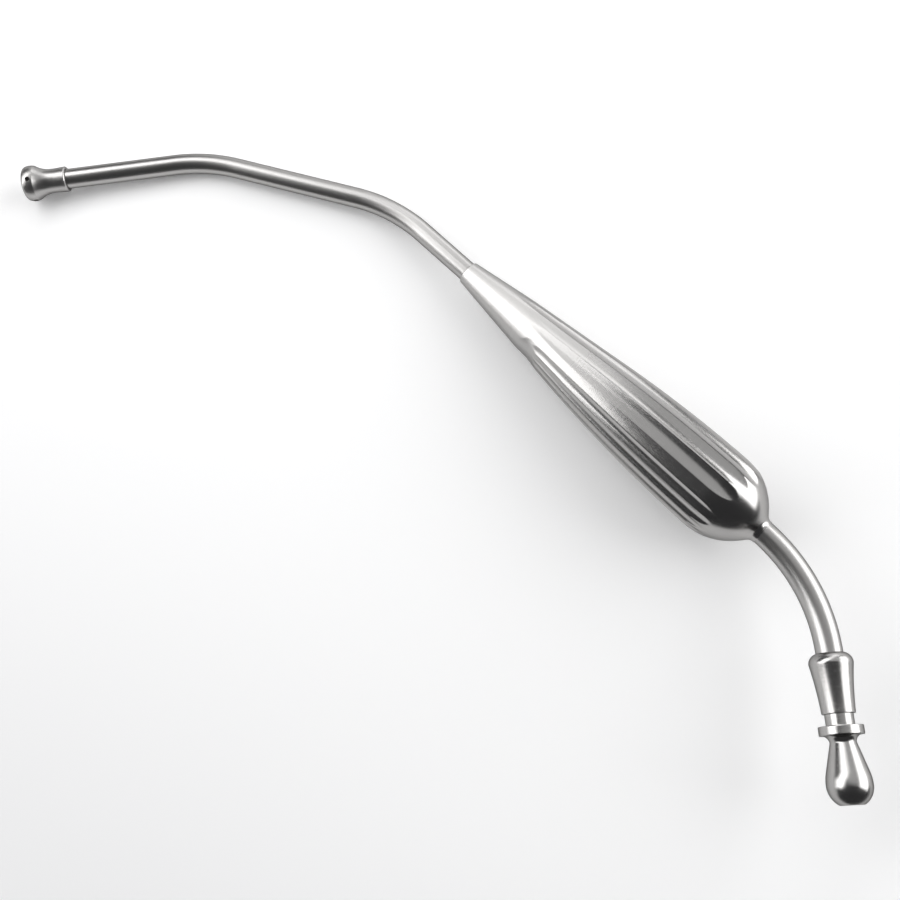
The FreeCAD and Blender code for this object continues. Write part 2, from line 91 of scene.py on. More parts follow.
# Handle outline: the cone, the bow up to the belly, the shoulder and the neck, with radii
HANDLE_LENGTH, FRONT, CONE_ANGLE, CONE_LENGTH, BELLY_AT = 102.0, 3.265, 7.69, 34.4, 86.2
SHOULDER, SHOULDER_ANGLE, NECK_BLEND = 17.0, 50.0, 1.7
NECK, HANDLE_WALL, THROAT_TO = TAIL / 2 + 0.12, 1.6, 29.4
BOW = (BELLY_AT - CONE_LENGTH) / sin(CONE_ANGLE)
BELLY = (FRONT + CONE_LENGTH * tan(CONE_ANGLE)
         + (BELLY_AT - CONE_LENGTH) * tan(CONE_ANGLE / 2))
CAVITY = BELLY - HANDLE_WALL / cos(CONE_ANGLE)
CAVITY_ROUND = SHOULDER - HANDLE_WALL

# Broad flutes, narrow flutes (ribs) and dish: their cutters end alike over the shoulder
FLUTES, FLUTE_PITCH, FLUTE_RADIUS, FLUTE_DEPTH, FLUTE_SHIFT = 10, 21.7, 5.2, 0.71, -0.4
FLUTE_SLOPE, FLUTE_BEND_AT = 5.6, 47.4
RIBS, RIB_PITCH, RIB_RADIUS, RIB_DEPTH = 7, 15.0, 2.7, 0.5
RIB_ENTRY, RIB_LEVEL, RIB_SWEEP = 27.7, 26.9, 5.0
CUT_TO, DIP = 86.4, 38.0
FIRST_FLUTE = 90 - FLUTE_PITCH * FLUTES / 2
FIRST_RIB = -90 - RIB_PITCH * RIBS / 2
DISH_AT, DISH_DEPTH, DISH_ROUND, DISH_SHIFT, DISH_REACH = 27.7, 0.36, 24.0, 0.9, 12.0
FLUTE_SOFT, DISH_SOFT = 0.14, 0.04

# Brushed and polished steel: its colour, and how often the grain changes per millimetre
STEEL = (0.425, 0.418, 0.411)
ROUND_THE_PIECE, EVEN = (9.0, 0.25, 0.25), (3.0, 3.0, 3.0)

# Studio panels: degrees right and up from overhead, metres away, size, turn, and radiance,
# where 1 is white
PANELS = (
    ("left_box", -42.6, 15.8, 1.0, (1.14, 0.535), -22.0, 2.7),
    ("side_card", -72.0, -5.0, 1.0, (0.44, 0.40), -8.0, 1.6),
    ("right_box", 65.0, 19.0, 1.5, (1.65, 1.38), -27.5, 2.5),
    ("top_card", 9.0, 29.0, 1.4, (1.40, 1.20), 14.8, 0.46),
    ("high_card", 5.0, 60.0, 1.6, (1.9, 0.62), 48.0, 1.35),
    ("low_card", -84.0, -40.0, 1.6, (1.2, 0.7), -20.0, 0.5),
    ("back_card", 14.0, 80.0, 1.7, (1.7, 0.6), 0.0, 0.65),
)
IMAGE_RIGHT = Vector((-0.809, -0.587, 0.0))
IMAGE_UP = Vector((0.574, -0.819, 0.0))
ROOM = (0.05, 0.05, 0.052, 1)


# ---- small helpers

def linked(name, data):
    item = bpy.data.objects.new(name, data)
    bpy.context.collection.objects.link(item)
    return item


def evaluated(holder):
    # The mesh that an object's modifiers make; the object itself is dropped
    graph = bpy.context.evaluated_depsgraph_get()
    mesh = bpy.data.meshes.new_from_object(holder.evaluated_get(graph), depsgraph=graph)
    bpy.data.objects.remove(holder)
    return mesh


def aim(place, forward, up):
    back = -Vector(forward).normalized()
    right = Vector(up).cross(back).normalized()
    top = back.cross(right)
    turn = Matrix((right, top, back)).transposed()
    return Matrix.Translation(place) @ turn.to_4x4()


def make_camera():
    # Place and lens were solved from points of the photograph
    data = bpy.data.cameras.new("camera")
    data.sensor_width = 36
    data.lens = 46.0
    data.clip_start = 0.01
    camera = linked("camera", data)
    place, forward = (-0.06082, 0.03918, 0.3007), (0.1732, -0.0788, -0.9817)
    camera.matrix_world = aim(place, forward, (0.5665, -0.8074, 0.1648))
    bpy.context.scene.camera = camera
    bpy.context.scene.view_settings.view_transform = "Standard"


# ---- node trees

class Value:
    # A socket that can stand in plain arithmetic; each step adds a Math node
    def __init__(self, tree, socket):
        self.tree = tree
        self.socket = socket

    def math(self, operation, *others):
        node = self.tree.nodes.new("ShaderNodeMath")
        node.operation = operation
        for place, item in enumerate((self,) + others):
            if isinstance(item, Value):
                self.tree.links.new(item.socket, node.inputs[place])
            else:
                node.inputs[place].default_value = item
        return Value(self.tree, node.outputs[0])

    def flipped(self, operation, other):
        node = self.tree.nodes.new("ShaderNodeMath")
        node.operation = operation
        node.inputs[0].default_value = other
        self.tree.links.new(self.socket, node.inputs[1])
        return Value(self.tree, node.outputs[0])

    def __add__(self, other): return self.math("ADD", other)
    def __radd__(self, other): return self.math("ADD", other)
    def __sub__(self, other): return self.math("SUBTRACT", other)
    def __rsub__(self, other): return self.flipped("SUBTRACT", other)
    def __mul__(self, other): return self.math("MULTIPLY", other)
    def __rmul__(self, other): return self.math("MULTIPLY", other)
    def __truediv__(self, other): return self.math("DIVIDE", other)
    def __rtruediv__(self, other): return self.flipped("DIVIDE", other)
    def __lt__(self, other): return self.math("LESS_THAN", other)
    def __gt__(self, other): return self.math("GREATER_THAN", other)

    def root(self): return self.math("MAXIMUM", 0.0).math("SQRT")
    def clamp(self, low, high): return self.math("MAXIMUM", low).math("MINIMUM", high)


class Nodes:
    # Adds nodes to one tree: kind, settings first, then the sockets' values or links, by name
    # or, as _6, by number
    def __init__(self, tree):
        self.tree = tree

    def add(self, kind, settings=None, **sockets):
        node = self.tree.nodes.new(kind)
        for name, item in (settings or {}).items():
            setattr(node, name, item)
        for name, item in sockets.items():
            key = int(name[1:]) if name[0] == "_" else name.replace("_", " ")
            socket = node.inputs[key]
            if isinstance(item, Value):
                self.tree.links.new(item.socket, socket)
            elif isinstance(item, bpy.types.NodeSocket):
                self.tree.links.new(item, socket)
            else:
                socket.default_value = item
        return node

    def value(self, socket):
        return Value(self.tree, socket)


def ramp(nodes, factor, low, high, out_low, out_high):
    node = nodes.add("ShaderNodeMapRange", dict(interpolation_type="SMOOTHSTEP"), Value=factor,
                     From_Min=low, From_Max=high, To_Min=out_low, To_Max=out_high)
    return nodes.value(node.outputs["Result"])


def noise(nodes, vector, scale, detail, rough):
    node = nodes.add("ShaderNodeTexNoise", None,
                     Vector=vector, Scale=scale, Detail=detail, Roughness=rough)
    return nodes.value(node.outputs["Fac"])


def stretched(nodes, vector, factors):
    node = nodes.add("ShaderNodeVectorMath", dict(operation="MULTIPLY"), _0=vector, _1=factors)
    return node.outputs[0]


def along(nodes, vector, direction):
    node = nodes.add("ShaderNodeVectorMath", dict(operation="DOT_PRODUCT"),
                     _0=vector, _1=direction)
    return nodes.value(node.outputs["Value"])


def grey(nodes, level):
    return nodes.add("ShaderNodeCombineColor", None, Red=level, Green=level, Blue=level).outputs[0]


def toned(nodes, colour, level):
    # A colour, plain or linked, times a level that varies
    node = nodes.add("ShaderNodeMix", dict(data_type="RGBA", blend_type="MULTIPLY"),
                     _0=1.0, _6=colour, _7=grey(nodes, level))
    return node.outputs[2]


def new_material(name):
    material = bpy.data.materials.new(name)
    material.use_nodes = True
    material.node_tree.nodes.clear()
    return material, Nodes(material.node_tree)


def new_rule(name, sizes):
    # A Geometry Nodes tree with a geometry and named sizes as its inputs
    tree = bpy.data.node_groups.new(name, "GeometryNodeTree")
    face = tree.interface
    face.new_socket("Geometry", in_out="INPUT", socket_type="NodeSocketGeometry")
    settings = {}
    for label, amount in sizes.items():
        socket = face.new_socket(label, in_out="INPUT", socket_type="NodeSocketFloat")
        settings[socket.identifier] = amount
    face.new_socket("Geometry", in_out="OUTPUT", socket_type="NodeSocketGeometry")
    nodes = Nodes(tree)
    return nodes, nodes.add("NodeGroupInput").outputs, settings


def end_rule(nodes, geometry, material):
    whole = nodes.add("GeometryNodeRealizeInstances", None, Geometry=geometry)
    dressed = nodes.add("GeometryNodeSetMaterial", None,
                        Geometry=whole.outputs[0], Material=material)
    nodes.add("NodeGroupOutput", None, _0=dressed.outputs[0])


def ruled(name, data, nodes, settings):
    # The mesh that a rule makes of this curve or mesh
    holder = linked(name, data)
    modifier = holder.modifiers.new("rule", "NODES")
    modifier.node_group = nodes.tree
    for identifier, amount in settings.items():
        modifier[identifier] = amount
    return evaluated(holder)


# ---- steel

def piece_space(nodes, place):
    # Object coordinates turned into the piece's own frame, in millimetres
    coordinates = nodes.add("ShaderNodeTexCoord").outputs["Object"]
    mapping = nodes.add("ShaderNodeMapping", dict(vector_type="TEXTURE"), Vector=coordinates,
                        Location=place.to_translation(), Rotation=place.to_euler(),
                        Scale=(MM, MM, MM))
    return mapping.outputs[0]


def steel(name, place, grain, rough, brush, dull=0.05, blotch=0.04, rim=0.2, satin=0.0):
    # Fine lines along the grain, soft blotches and hairline marks. brush is the lines' depth in
    # millimetres; dull and blotch say how far they change the roughness; satin is added at the
    # front and fades out towards the tail; rim is the strength of the pale edges
    material, nodes = new_material(name)
    space = piece_space(nodes, place)
    fine = noise(nodes, stretched(nodes, space, grain), 1.0, 3.0, 0.6)
    coarse = noise(nodes, stretched(nodes, space, tuple(g * 0.31 for g in grain)), 1.0, 2.0, 0.5)
    cloud = noise(nodes, space, 0.12, 3.0, 0.55)
    smudge = noise(nodes, space, 0.45, 2.0, 0.5)
    hair = noise(nodes, stretched(nodes, space, (0.35, 2.6, 2.6)), 1.0, 2.0, 0.4)
    scratch = ramp(nodes, (hair - 0.5).math("ABSOLUTE"), 0.0, 0.006, 1.0, 0.0)
    lines = fine * 0.45 + coarse * 0.55
    roughness = (lines - 0.5) * dull + (cloud - 0.5) * blotch
    roughness = roughness + ramp(nodes, smudge, 0.5, 0.8, 0.0, blotch * 0.4)
    roughness = roughness + scratch * 0.02 + rough
    if satin:
        x = nodes.add("ShaderNodeSeparateXYZ", None, Vector=space).outputs[0]
        roughness = roughness + ramp(nodes, nodes.value(x), 25.0, 68.0, satin, 0.0)
    tone = (lines - 0.5) * 0.12 + (cloud - 0.5) * 0.05 + 1.0
    bump = nodes.add("ShaderNodeBump", None,
                     Strength=1.0, Distance=brush * MM, Height=lines + scratch * -0.25)
    shader = nodes.add("ShaderNodeBsdfPrincipled", None,
                       Base_Color=toned(nodes, (*STEEL, 1.0), tone), Metallic=1.0,
                       Specular_Tint=(rim, rim, rim, 1.0), Roughness=roughness.clamp(0.04, 0.9),
                       Normal=bump.outputs[0])
    nodes.add("ShaderNodeOutputMaterial", None, Surface=shader.outputs[0])
    return material


def steel_for(name, grain, rough, brush, **more):
    # A steel that is made once the place of its piece is known
    return lambda place: steel(name, place, grain, rough, brush, **more)


# ---- outlines and turned pieces

class Outline:
    # Points (along, radius) of a closed outline made of lines and arcs
    def __init__(self, x, r):
        self.points = [(x, r)]

    def line(self, x, r):
        here = np.array(self.points[-1])
        there = np.array((x, r))
        count = max(1, int(np.linalg.norm(there - here) / 0.45))
        for step in range(1, count + 1):
            self.points.append(tuple(here + (there - here) * step / count))
        return self

    def arc(self, x, r, radius, side):
        here = np.array(self.points[-1])
        there = np.array((x, r))
        chord = there - here
        half = np.linalg.norm(chord) / 2
        normal = np.array((-chord[1], chord[0])) / (2 * half)
        rise = math.sqrt(radius * radius - half * half)
        centre = (here + there) / 2 + normal * (rise if side == "left" else -rise)
        first = math.atan2(*(here - centre)[::-1])
        sweep = 2 * math.asin(half / radius)
        sweep = sweep if side == "left" else -sweep
        count = max(4, int(abs(sweep) * radius / 0.35), int(abs(sweep) / 0.12))
        for step in range(1, count + 1):
            angle = first + sweep * step / count
            reach = np.array((math.cos(angle), math.sin(angle))) * radius
            self.points.append(tuple(centre + reach))
        return self

    def rounded(self, size, limit=18.0):
        # Breaks each corner sharper than the limit with a small round edge
        points = np.array(self.points[:-1])
        result = []
        for index, here in enumerate(points):
            before, after = points[index - 1], points[(index + 1) % len(points)]
            one, two = before - here, after - here
            long_one, long_two = np.linalg.norm(one), np.linalg.norm(two)
            cosine = -np.dot(one, two) / (long_one * long_two)
            if math.degrees(math.acos(max(-1, min(1, cosine)))) < limit:
                result.append(here)
                continue
            cut = min(size, long_one * 0.45, long_two * 0.45)
            start, end = here + one / long_one * cut, here + two / long_two * cut
            result.append(here + one / long_one * min(cut * 1.8, long_one * 0.6))
            for share in (0.0, 0.25, 0.5, 0.75, 1.0):
                low = start + (here - start) * share
                high = here + (end - here) * share
                result.append(low + (high - low) * share)
            result.append(here + two / long_two * min(cut * 1.8, long_two * 0.6))
        return np.array(result)


def turned_mesh(name, points, angles, shifts=0.0):
    # A closed ring of outline points turned round X; a column may aim from an axis that is
    # shifted along Y
    rows, columns = len(points), len(angles)
    theta = np.radians(np.array(angles))
    aim_y, aim_z = np.cos(theta)[None, :], np.sin(theta)[None, :]
    away = np.zeros(columns)[None, :] + shifts
    reach = np.sqrt(points[:, 1:2] ** 2 - (away * aim_z) ** 2) - away * aim_y
    x = np.repeat(points[:, 0], columns)
    y = (away + reach * aim_y).ravel()
    z = (reach * aim_z).ravel()
    faces = []
    for row in range(rows):
        below = (row + 1) % rows
        for column in range(columns):
            beside = (column + 1) % columns
            faces.append((row * columns + column, row * columns + beside,
                          below * columns + beside, below * columns + column))
    mesh = bpy.data.meshes.new(name)
    mesh.from_pydata(np.stack((x, y, z), 1).tolist(), [], faces)
    mesh.update()
    return mesh


def signed_volume(mesh):
    mesh.calc_loop_triangles()
    points = np.empty(len(mesh.vertices) * 3)
    mesh.vertices.foreach_get("co", points)
    points = points.reshape(-1, 3)
    corners = np.empty(len(mesh.loop_triangles) * 3, dtype=np.int32)
    mesh.loop_triangles.foreach_get("vertices", corners)
    a, b, c = (points[corners.reshape(-1, 3)[:, k]] for k in range(3))
    return float((np.cross(a, b) * c).sum() / 6)


def outwards(mesh):
    if signed_volume(mesh) < 0:
        mesh.flip_normals()
    return mesh


def placed(node, mesh, place, material):
    # Puts the finished mesh in the part's frame and lets it stand for its CAD node
    outwards(mesh)
    mesh.transform(place @ Matrix.Diagonal((MM, MM, MM, 1.0)))
    mesh.shade_smooth()
    mesh.set_sharp_from_angle(angle=math.radians(50))
    mesh.materials.clear()
    mesh.materials.append(material)
    mesh.name = node + "_steel"
    piece = linked(node + "_steel", mesh)
    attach(piece, "root")
    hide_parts(node)


def evenly(count):
    return [360.0 * step / count for step in range(count)]


def along_rest(x, y, angle):
    return (REST @ Matrix.Translation((x * MM, y * MM, 0))
            @ Matrix.Rotation(math.radians(angle), 4, "Z"))


def drilled(mesh, cutters):
    body = linked("body", outwards(mesh))
    tools = []
    for cutter in cutters:
        tool = linked("tool", outwards(cutter))
        step = body.modifiers.new("hole", "BOOLEAN")
        step.operation = "DIFFERENCE"
        step.solver = "EXACT"
        step.object = tool
        tools.append(tool)
    result = evaluated(body)
    for tool in tools:
        bpy.data.objects.remove(tool)
    return result


# ---- the two tubes

def bent_tube(name, corners, radius, outside, bore, material):
    # A skin swept along a line with rounded corners, then thickened inwards
    curve = bpy.data.curves.new(name + "_line", "CURVE")
    curve.dimensions = "3D"
    spline = curve.splines.new("POLY")
    spline.points.add(len(corners) - 1)
    for point, corner in zip(spline.points, corners):
        point.co = (*corner, 0.0, 1.0)
    sizes = {"Bend radius": radius, "Tube radius": outside / 2}
    nodes, entry, settings = new_rule(name + "_sweep", sizes)
    bend = nodes.add("GeometryNodeFilletCurve", dict(mode="POLY"), Curve=entry["Geometry"],
                     Radius=entry["Bend radius"], Count=BEND_STEPS)
    step = nodes.add("GeometryNodeSubdivideCurve", None, Curve=bend.outputs[0], Cuts=3)
    ring = nodes.add("GeometryNodeCurvePrimitiveCircle", None,
                     Resolution=RING_POINTS, Radius=entry["Tube radius"])
    sweep = nodes.add("GeometryNodeCurveToMesh", None,
                      Curve=step.outputs[0], Profile_Curve=ring.outputs[0])
    end_rule(nodes, sweep.outputs[0], material)
    skin = ruled(name + "_line", curve, nodes, settings)
    shell = linked(name + "_shell", skin)
    wall = shell.modifiers.new("wall", "SOLIDIFY")
    wall.thickness = (outside - bore) / 2
    wall.offset = -1.0 if signed_volume(skin) > 0 else 1.0
    return evaluated(shell)


def front_line(reach):
    # The corners of the front tube's two bends, and the point this far beyond the second
    one = (-REAR_RUN, 0.0)
    two = (one[0] - MIDDLE_RUN * cos(REAR_BEND), -MIDDLE_RUN * sin(REAR_BEND))
    turn = REAR_BEND + FRONT_BEND
    return one, two, (two[0] - reach * cos(turn), two[1] - reach * sin(turn))


def front_tube(finish):
    material = finish(REST)
    corners = [(TUBE_INSERT, 0.0), *front_line(FRONT_RUN + TIP_SOCKET)]
    mesh = bent_tube("front_tube", corners, BEND_RADIUS, TUBE, TUBE_BORE, material)
    placed("front_tube", mesh, REST, material)


def tail_tube(finish):
    material = finish(REST)
    reach = TAIL_RADIUS * tan(TAIL_ANGLE / 2)
    corner = (HANDLE_LENGTH + reach, 0.0)
    run = reach + FERRULE_SOCKET
    end = (corner[0] + run * cos(TAIL_ANGLE), -run * sin(TAIL_ANGLE))
    corners = [(HANDLE_LENGTH - TAIL_INSERT, 0.0), corner, end]
    mesh = bent_tube("tail_tube", corners, TAIL_RADIUS, TAIL, TAIL_BORE, material)
    placed("tail_tube", mesh, REST, material)


# ---- tip, ferrule and nipple

def hole_cutter(turn):
    # A round bar across the tip's band
    bar = evenly(40)
    count = len(bar)
    points = [(SIDE_HOLE_AT + SIDE_HOLE * cos(a), SIDE_HOLE * sin(a), height)
              for height in (1.0, 7.0) for a in bar]
    faces = [(k, (k + 1) % count, count + (k + 1) % count, count + k) for k in range(count)]
    faces += [tuple(range(count - 1, -1, -1)), tuple(range(count, 2 * count))]
    cutter = bpy.data.meshes.new("hole")
    cutter.from_pydata(points, [], faces)
    cutter.transform(Matrix.Rotation(math.radians(turn), 4, "X"))
    return cutter


def suction_tip(finish):
    x, y = front_line(FRONT_RUN)[2]
    place = along_rest(x, y, 180 + REAR_BEND + FRONT_BEND)
    line = Outline(0, TUBE / 2)
    # Collar, waist, flare, band, nose and dome, then back along the inside from the mouth
    line.line(0, COLLAR - COLLAR_LEAD).line(COLLAR_LEAD, COLLAR)
    line.line(WAIST_AT, WAIST).line(FLARE_FROM, WAIST)
    line.arc(BELL_AT, BELL, BELL_FLARE, "left").arc(BAND_TO, BELL, BAND_BULGE, "right")
    line.arc(NOSE_AT, NOSE, NOSE_EDGE, "right").arc(MOUTH_AT, MOUTH, DOME, "right")
    line.line(MOUTH_AT - TIP_WALL, MOUTH)
    line.arc(NOSE_AT - TIP_WALL, NOSE - TIP_WALL, DOME, "left")
    line.line(BELL_AT - TIP_WALL, TIP_BORE).line(TIP_SOCKET, TIP_BORE)
    line.line(TIP_SOCKET, TUBE / 2).line(0, TUBE / 2)
    mesh = turned_mesh("suction_tip", line.rounded(0.1), evenly(144))
    turns = [SIDE_HOLE_TURN + angle for angle in evenly(SIDE_HOLES)]
    mesh = drilled(mesh, [hole_cutter(turn) for turn in turns])
    placed("suction_tip", mesh, place, finish(place))


def tail_end(reach):
    # The place this far beyond the end of the tail tube's bend
    x = HANDLE_LENGTH + TAIL_RADIUS * sin(TAIL_ANGLE) + reach * cos(TAIL_ANGLE)
    y = TAIL_RADIUS * (cos(TAIL_ANGLE) - 1) - reach * sin(TAIL_ANGLE)
    return along_rest(x, y, -TAIL_ANGLE)


def hose_ferrule(finish):
    place = tail_end(0.0)
    line = Outline(0, TAIL / 2)
    # Crown and taper, then the nipple's socket, the passage and the tube's socket
    line.line(0, TAIL / 2 + FERRULE_LIP).arc(CROWN_AT, CROWN, CROWN_EDGE, "right")
    line.arc(FERRULE_LENGTH, FERRULE_END, FERRULE_TAPER, "left")
    line.line(FERRULE_LENGTH, NIPPLE_NECK)
    line.line(FERRULE_LENGTH - SPIGOT_LENGTH, NIPPLE_NECK)
    line.line(FERRULE_LENGTH - SPIGOT_LENGTH, PASSAGE).line(FERRULE_SOCKET, PASSAGE)
    line.line(FERRULE_SOCKET, TAIL / 2).line(0, TAIL / 2)
    mesh = turned_mesh("hose_ferrule", line.rounded(0.18), evenly(144))
    placed("hose_ferrule", mesh, place, finish(place))


def hose_nipple(finish):
    place = tail_end(FERRULE_LENGTH)
    line = Outline(-SPIGOT_LENGTH, NIPPLE_BORE)
    # Spigot, flange, stem and olive, then back along the bore
    line.line(-SPIGOT_LENGTH, NIPPLE_NECK).line(FLANGE_AT, NIPPLE_NECK)
    line.line(FLANGE_AT, FLANGE).line(FLANGE_TO, FLANGE).line(FLANGE_TO, ROOT)
    line.arc(ROOT_TO, STEM, ROOT_FILLET, "left").line(OLIVE_FROM, OLIVE_START)
    line.arc(OLIVE_AT, OLIVE, OLIVE_BOW, "right")
    line.arc(OLIVE_TO, OLIVE_END, OLIVE_ROUND, "right")
    line.line(OLIVE_TO, NIPPLE_BORE).line(HOLLOW_TO, NIPPLE_BORE)
    line.arc(OLIVE_AT, OLIVE - OLIVE_WALL, OLIVE_ROUND - OLIVE_WALL, "left")
    line.line(OLIVE_FROM, OLIVE_START - OLIVE_WALL)
    line.line(HOLLOW_FROM, NIPPLE_BORE).line(-SPIGOT_LENGTH, NIPPLE_BORE)
    mesh = turned_mesh("hose_nipple", line.rounded(0.22), evenly(144))
    placed("hose_nipple", mesh, place, finish(place))


# ---- handle: the turned shell first, then a rule that presses dish and flutes into it

def handle_columns():
    # Angles from the upper side towards the convex side, with the axis each column aims from:
    # every ridge between two flutes has a column of its own
    columns = []

    def fill(first, last, count, shift, next_shift):
        for step in range(count):
            share = step / count
            columns.append((90 - (first + (last - first) * share),
                            shift + (next_shift - shift) * share))

    last_flute = FIRST_FLUTE + FLUTE_PITCH * FLUTES
    last_rib = FIRST_RIB + RIB_PITCH * RIBS
    fill(FIRST_FLUTE, last_flute, 16 * FLUTES, FLUTE_SHIFT, FLUTE_SHIFT)
    fill(last_flute, FIRST_RIB + 360, 10, FLUTE_SHIFT, 0.0)
    fill(FIRST_RIB + 360, last_rib + 360, 12 * RIBS, 0.0, 0.0)
    fill(last_rib + 360, FIRST_FLUTE + 360, 14, 0.0, FLUTE_SHIFT)
    return zip(*columns)


def bowed(x, top):
    return top - BOW + math.sqrt(BOW * BOW - (BELLY_AT - x) ** 2)


def handle_outline():
    shoulder_x = BELLY_AT + SHOULDER * sin(SHOULDER_ANGLE)
    shoulder_r = BELLY - SHOULDER * (1 - cos(SHOULDER_ANGLE))
    neck_x = shoulder_x + (shoulder_r - NECK) / tan(SHOULDER_ANGLE)
    blend = NECK_BLEND * tan(SHOULDER_ANGLE / 2)
    line = Outline(0, TUBE / 2)
    line.line(0, FRONT)
    line.points += [(x, FRONT + x * tan(CONE_ANGLE)) for x in np.linspace(0.5, CONE_LENGTH, 82)]
    line.points += [(x, bowed(x, BELLY)) for x in np.linspace(CONE_LENGTH + 0.5, BELLY_AT, 110)]
    line.arc(shoulder_x, shoulder_r, SHOULDER, "right")
    line.line(neck_x - blend * cos(SHOULDER_ANGLE), NECK + blend * sin(SHOULDER_ANGLE))
    line.arc(neck_x + blend, NECK, NECK_BLEND, "left")
    line.line(HANDLE_LENGTH, NECK).line(HANDLE_LENGTH, TAIL / 2)
    # Back along the inside: the tail's socket, the cavity, the throat and the front socket
    drop = CAVITY_ROUND - CAVITY + TAIL / 2
    cavity_end = BELLY_AT + math.sqrt(CAVITY_ROUND ** 2 - drop ** 2)
    line.points += [(x, TAIL / 2) for x in (101.0, 99.9, cavity_end)]
    for x in (96.5, 94.0, 90.5):
        height = math.sqrt(CAVITY_ROUND ** 2 - (x - BELLY_AT) ** 2)
        line.points.append((x, CAVITY - CAVITY_ROUND + height))
    line.points += [(x, bowed(x, CAVITY)) for x in (BELLY_AT, 73.0, 60.0, 47.0, CONE_LENGTH)]
    line.points += [(THROAT_TO, TUBE_BORE / 2), (TUBE_INSERT, TUBE_BORE / 2),
                    (TUBE_INSERT, TUBE / 2), (0, TUBE / 2)]
    return line.rounded(0.16, 30.0)


def pressed(y, z, centre, cut_at):
    # Moves the point straight towards a line along X at the given height, down to the cut
    offset = y - centre
    reach = (offset * offset + z * z).root()
    share = cut_at(reach, offset.math("ARCTAN2", z)) / reach
    return centre + offset * share, z * share


def falling(distance, radius):
    # How far an arc of this radius drops over the distance
    return radius - (radius * radius - distance * distance).root()


def softly_cut(reach, cut, softness, where):
    return reach + (reach.math("SMOOTH_MIN", cut, softness) - reach) * where


def ring_of_flutes(first, pitch, count, radius, valley, softness):
    # Round cutters side by side, their centres a radius above the valley
    height = valley + radius

    def cut_at(reach, angle):
        turn = angle * (180 / math.pi) - first
        turn = turn - (turn / 360.0).math("FLOOR") * 360.0
        turn = turn - (turn > 300.0) * 360.0
        number = (turn / pitch).math("FLOOR").clamp(0.0, count - 1.0)
        off = (turn - (number + 0.5) * pitch) * (math.pi / 180)
        side = height * off.math("SINE")
        inside = radius * radius - side * side
        cut = height * off.math("COSINE") - inside.root()
        reached = (inside > 0.0) * (off.math("ABSOLUTE") < 1.2)
        return softly_cut(reach, cut, softness, reached)
    return cut_at


def flute_rule(material):
    nodes, entry, settings = new_rule("handle_flutes", {
        "Flute pitch": FLUTE_PITCH, "Flute radius": FLUTE_RADIUS, "Flute depth": FLUTE_DEPTH,
        "Flute shift": FLUTE_SHIFT, "Rib pitch": RIB_PITCH, "Rib radius": RIB_RADIUS,
        "Rib depth": RIB_DEPTH, "Dish radius": DISH_ROUND, "Dish shift": DISH_SHIFT,
        "Edge softness": FLUTE_SOFT,
    })

    def size(label):
        return nodes.value(entry[label])

    position = nodes.add("GeometryNodeInputPosition").outputs[0]
    parts = nodes.add("ShaderNodeSeparateXYZ", None, Vector=position).outputs
    x, y, z = (nodes.value(part) for part in parts)

    def dish(reach, angle):
        lift = DISH_ROUND - DISH_DEPTH
        centre = FRONT + DISH_AT * tan(CONE_ANGLE) + lift * cos(CONE_ANGLE) + DISH_SHIFT
        across = x - (DISH_AT - lift * sin(CONE_ANGLE))
        cut = centre - (size("Dish radius") * size("Dish radius") - across * across).root()
        return softly_cut(reach, cut, DISH_SOFT, across.math("ABSOLUTE") < DISH_REACH)

    y, z = pressed(y, z, size("Dish shift"), dish)

    # Depth of the flutes along the handle: a rising line or entry arc, the bow, and the dip
    before = (CUT_TO - x).math("MAXIMUM", 0.0)
    beyond = (x - CUT_TO).math("MAXIMUM", 0.0)

    bottom = BELLY - size("Flute depth")
    reach = (CUT_TO - FLUTE_BEND_AT) / sin(FLUTE_SLOPE) - FLUTE_RADIUS
    bend = CUT_TO - reach * sin(FLUTE_SLOPE)
    line = bottom - reach * (1 - cos(FLUTE_SLOPE)) - (bend - x) * tan(FLUTE_SLOPE)
    arched = bottom - falling(before.math("MINIMUM", CUT_TO - bend), reach)
    arched = arched - falling(beyond, DIP - FLUTE_RADIUS)
    valley = line + (arched - line) * (x > bend)
    broad = ring_of_flutes(FIRST_FLUTE, size("Flute pitch"), FLUTES, size("Flute radius"),
                           valley, size("Edge softness"))
    y, z = pressed(y, z, size("Flute shift"), broad)

    bottom = BELLY - size("Rib depth")
    start = FRONT + RIB_ENTRY * tan(CONE_ANGLE)
    slope = 2 * math.degrees(math.atan((BELLY - RIB_DEPTH - start) / (CUT_TO - RIB_LEVEL)))
    reach = (CUT_TO - RIB_LEVEL - RIB_SWEEP) / sin(slope) - RIB_RADIUS
    entry_round = RIB_SWEEP / sin(slope) + RIB_RADIUS
    bend = CUT_TO - reach * sin(slope)
    line = start + falling((x - RIB_LEVEL).clamp(0.0, entry_round * sin(slope)), entry_round)
    arched = bottom - falling(before.math("MINIMUM", CUT_TO - bend), reach)
    arched = arched - falling(beyond, DIP - RIB_RADIUS)
    valley = line + (arched - line) * (x > bend)
    narrow = ring_of_flutes(FIRST_RIB, size("Rib pitch"), RIBS, size("Rib radius"),
                            valley, size("Edge softness"))
    y, z = pressed(y, z, 0.0, narrow)

    moved = nodes.add("ShaderNodeCombineXYZ", None, X=x, Y=y, Z=z)
    place = nodes.add("GeometryNodeSetPosition", None,
                      Geometry=entry["Geometry"], Position=moved.outputs[0])
    end_rule(nodes, place.outputs[0], material)
    return nodes, settings


def handle(finish):
    material = finish(REST)
    angles, shifts = handle_columns()
    mesh = outwards(turned_mesh("handle", handle_outline(), angles, shifts))
    fluted = ruled("handle_shell", mesh, *flute_rule(material))
    placed("handle", fluted, REST, material)


# ---- floor and light

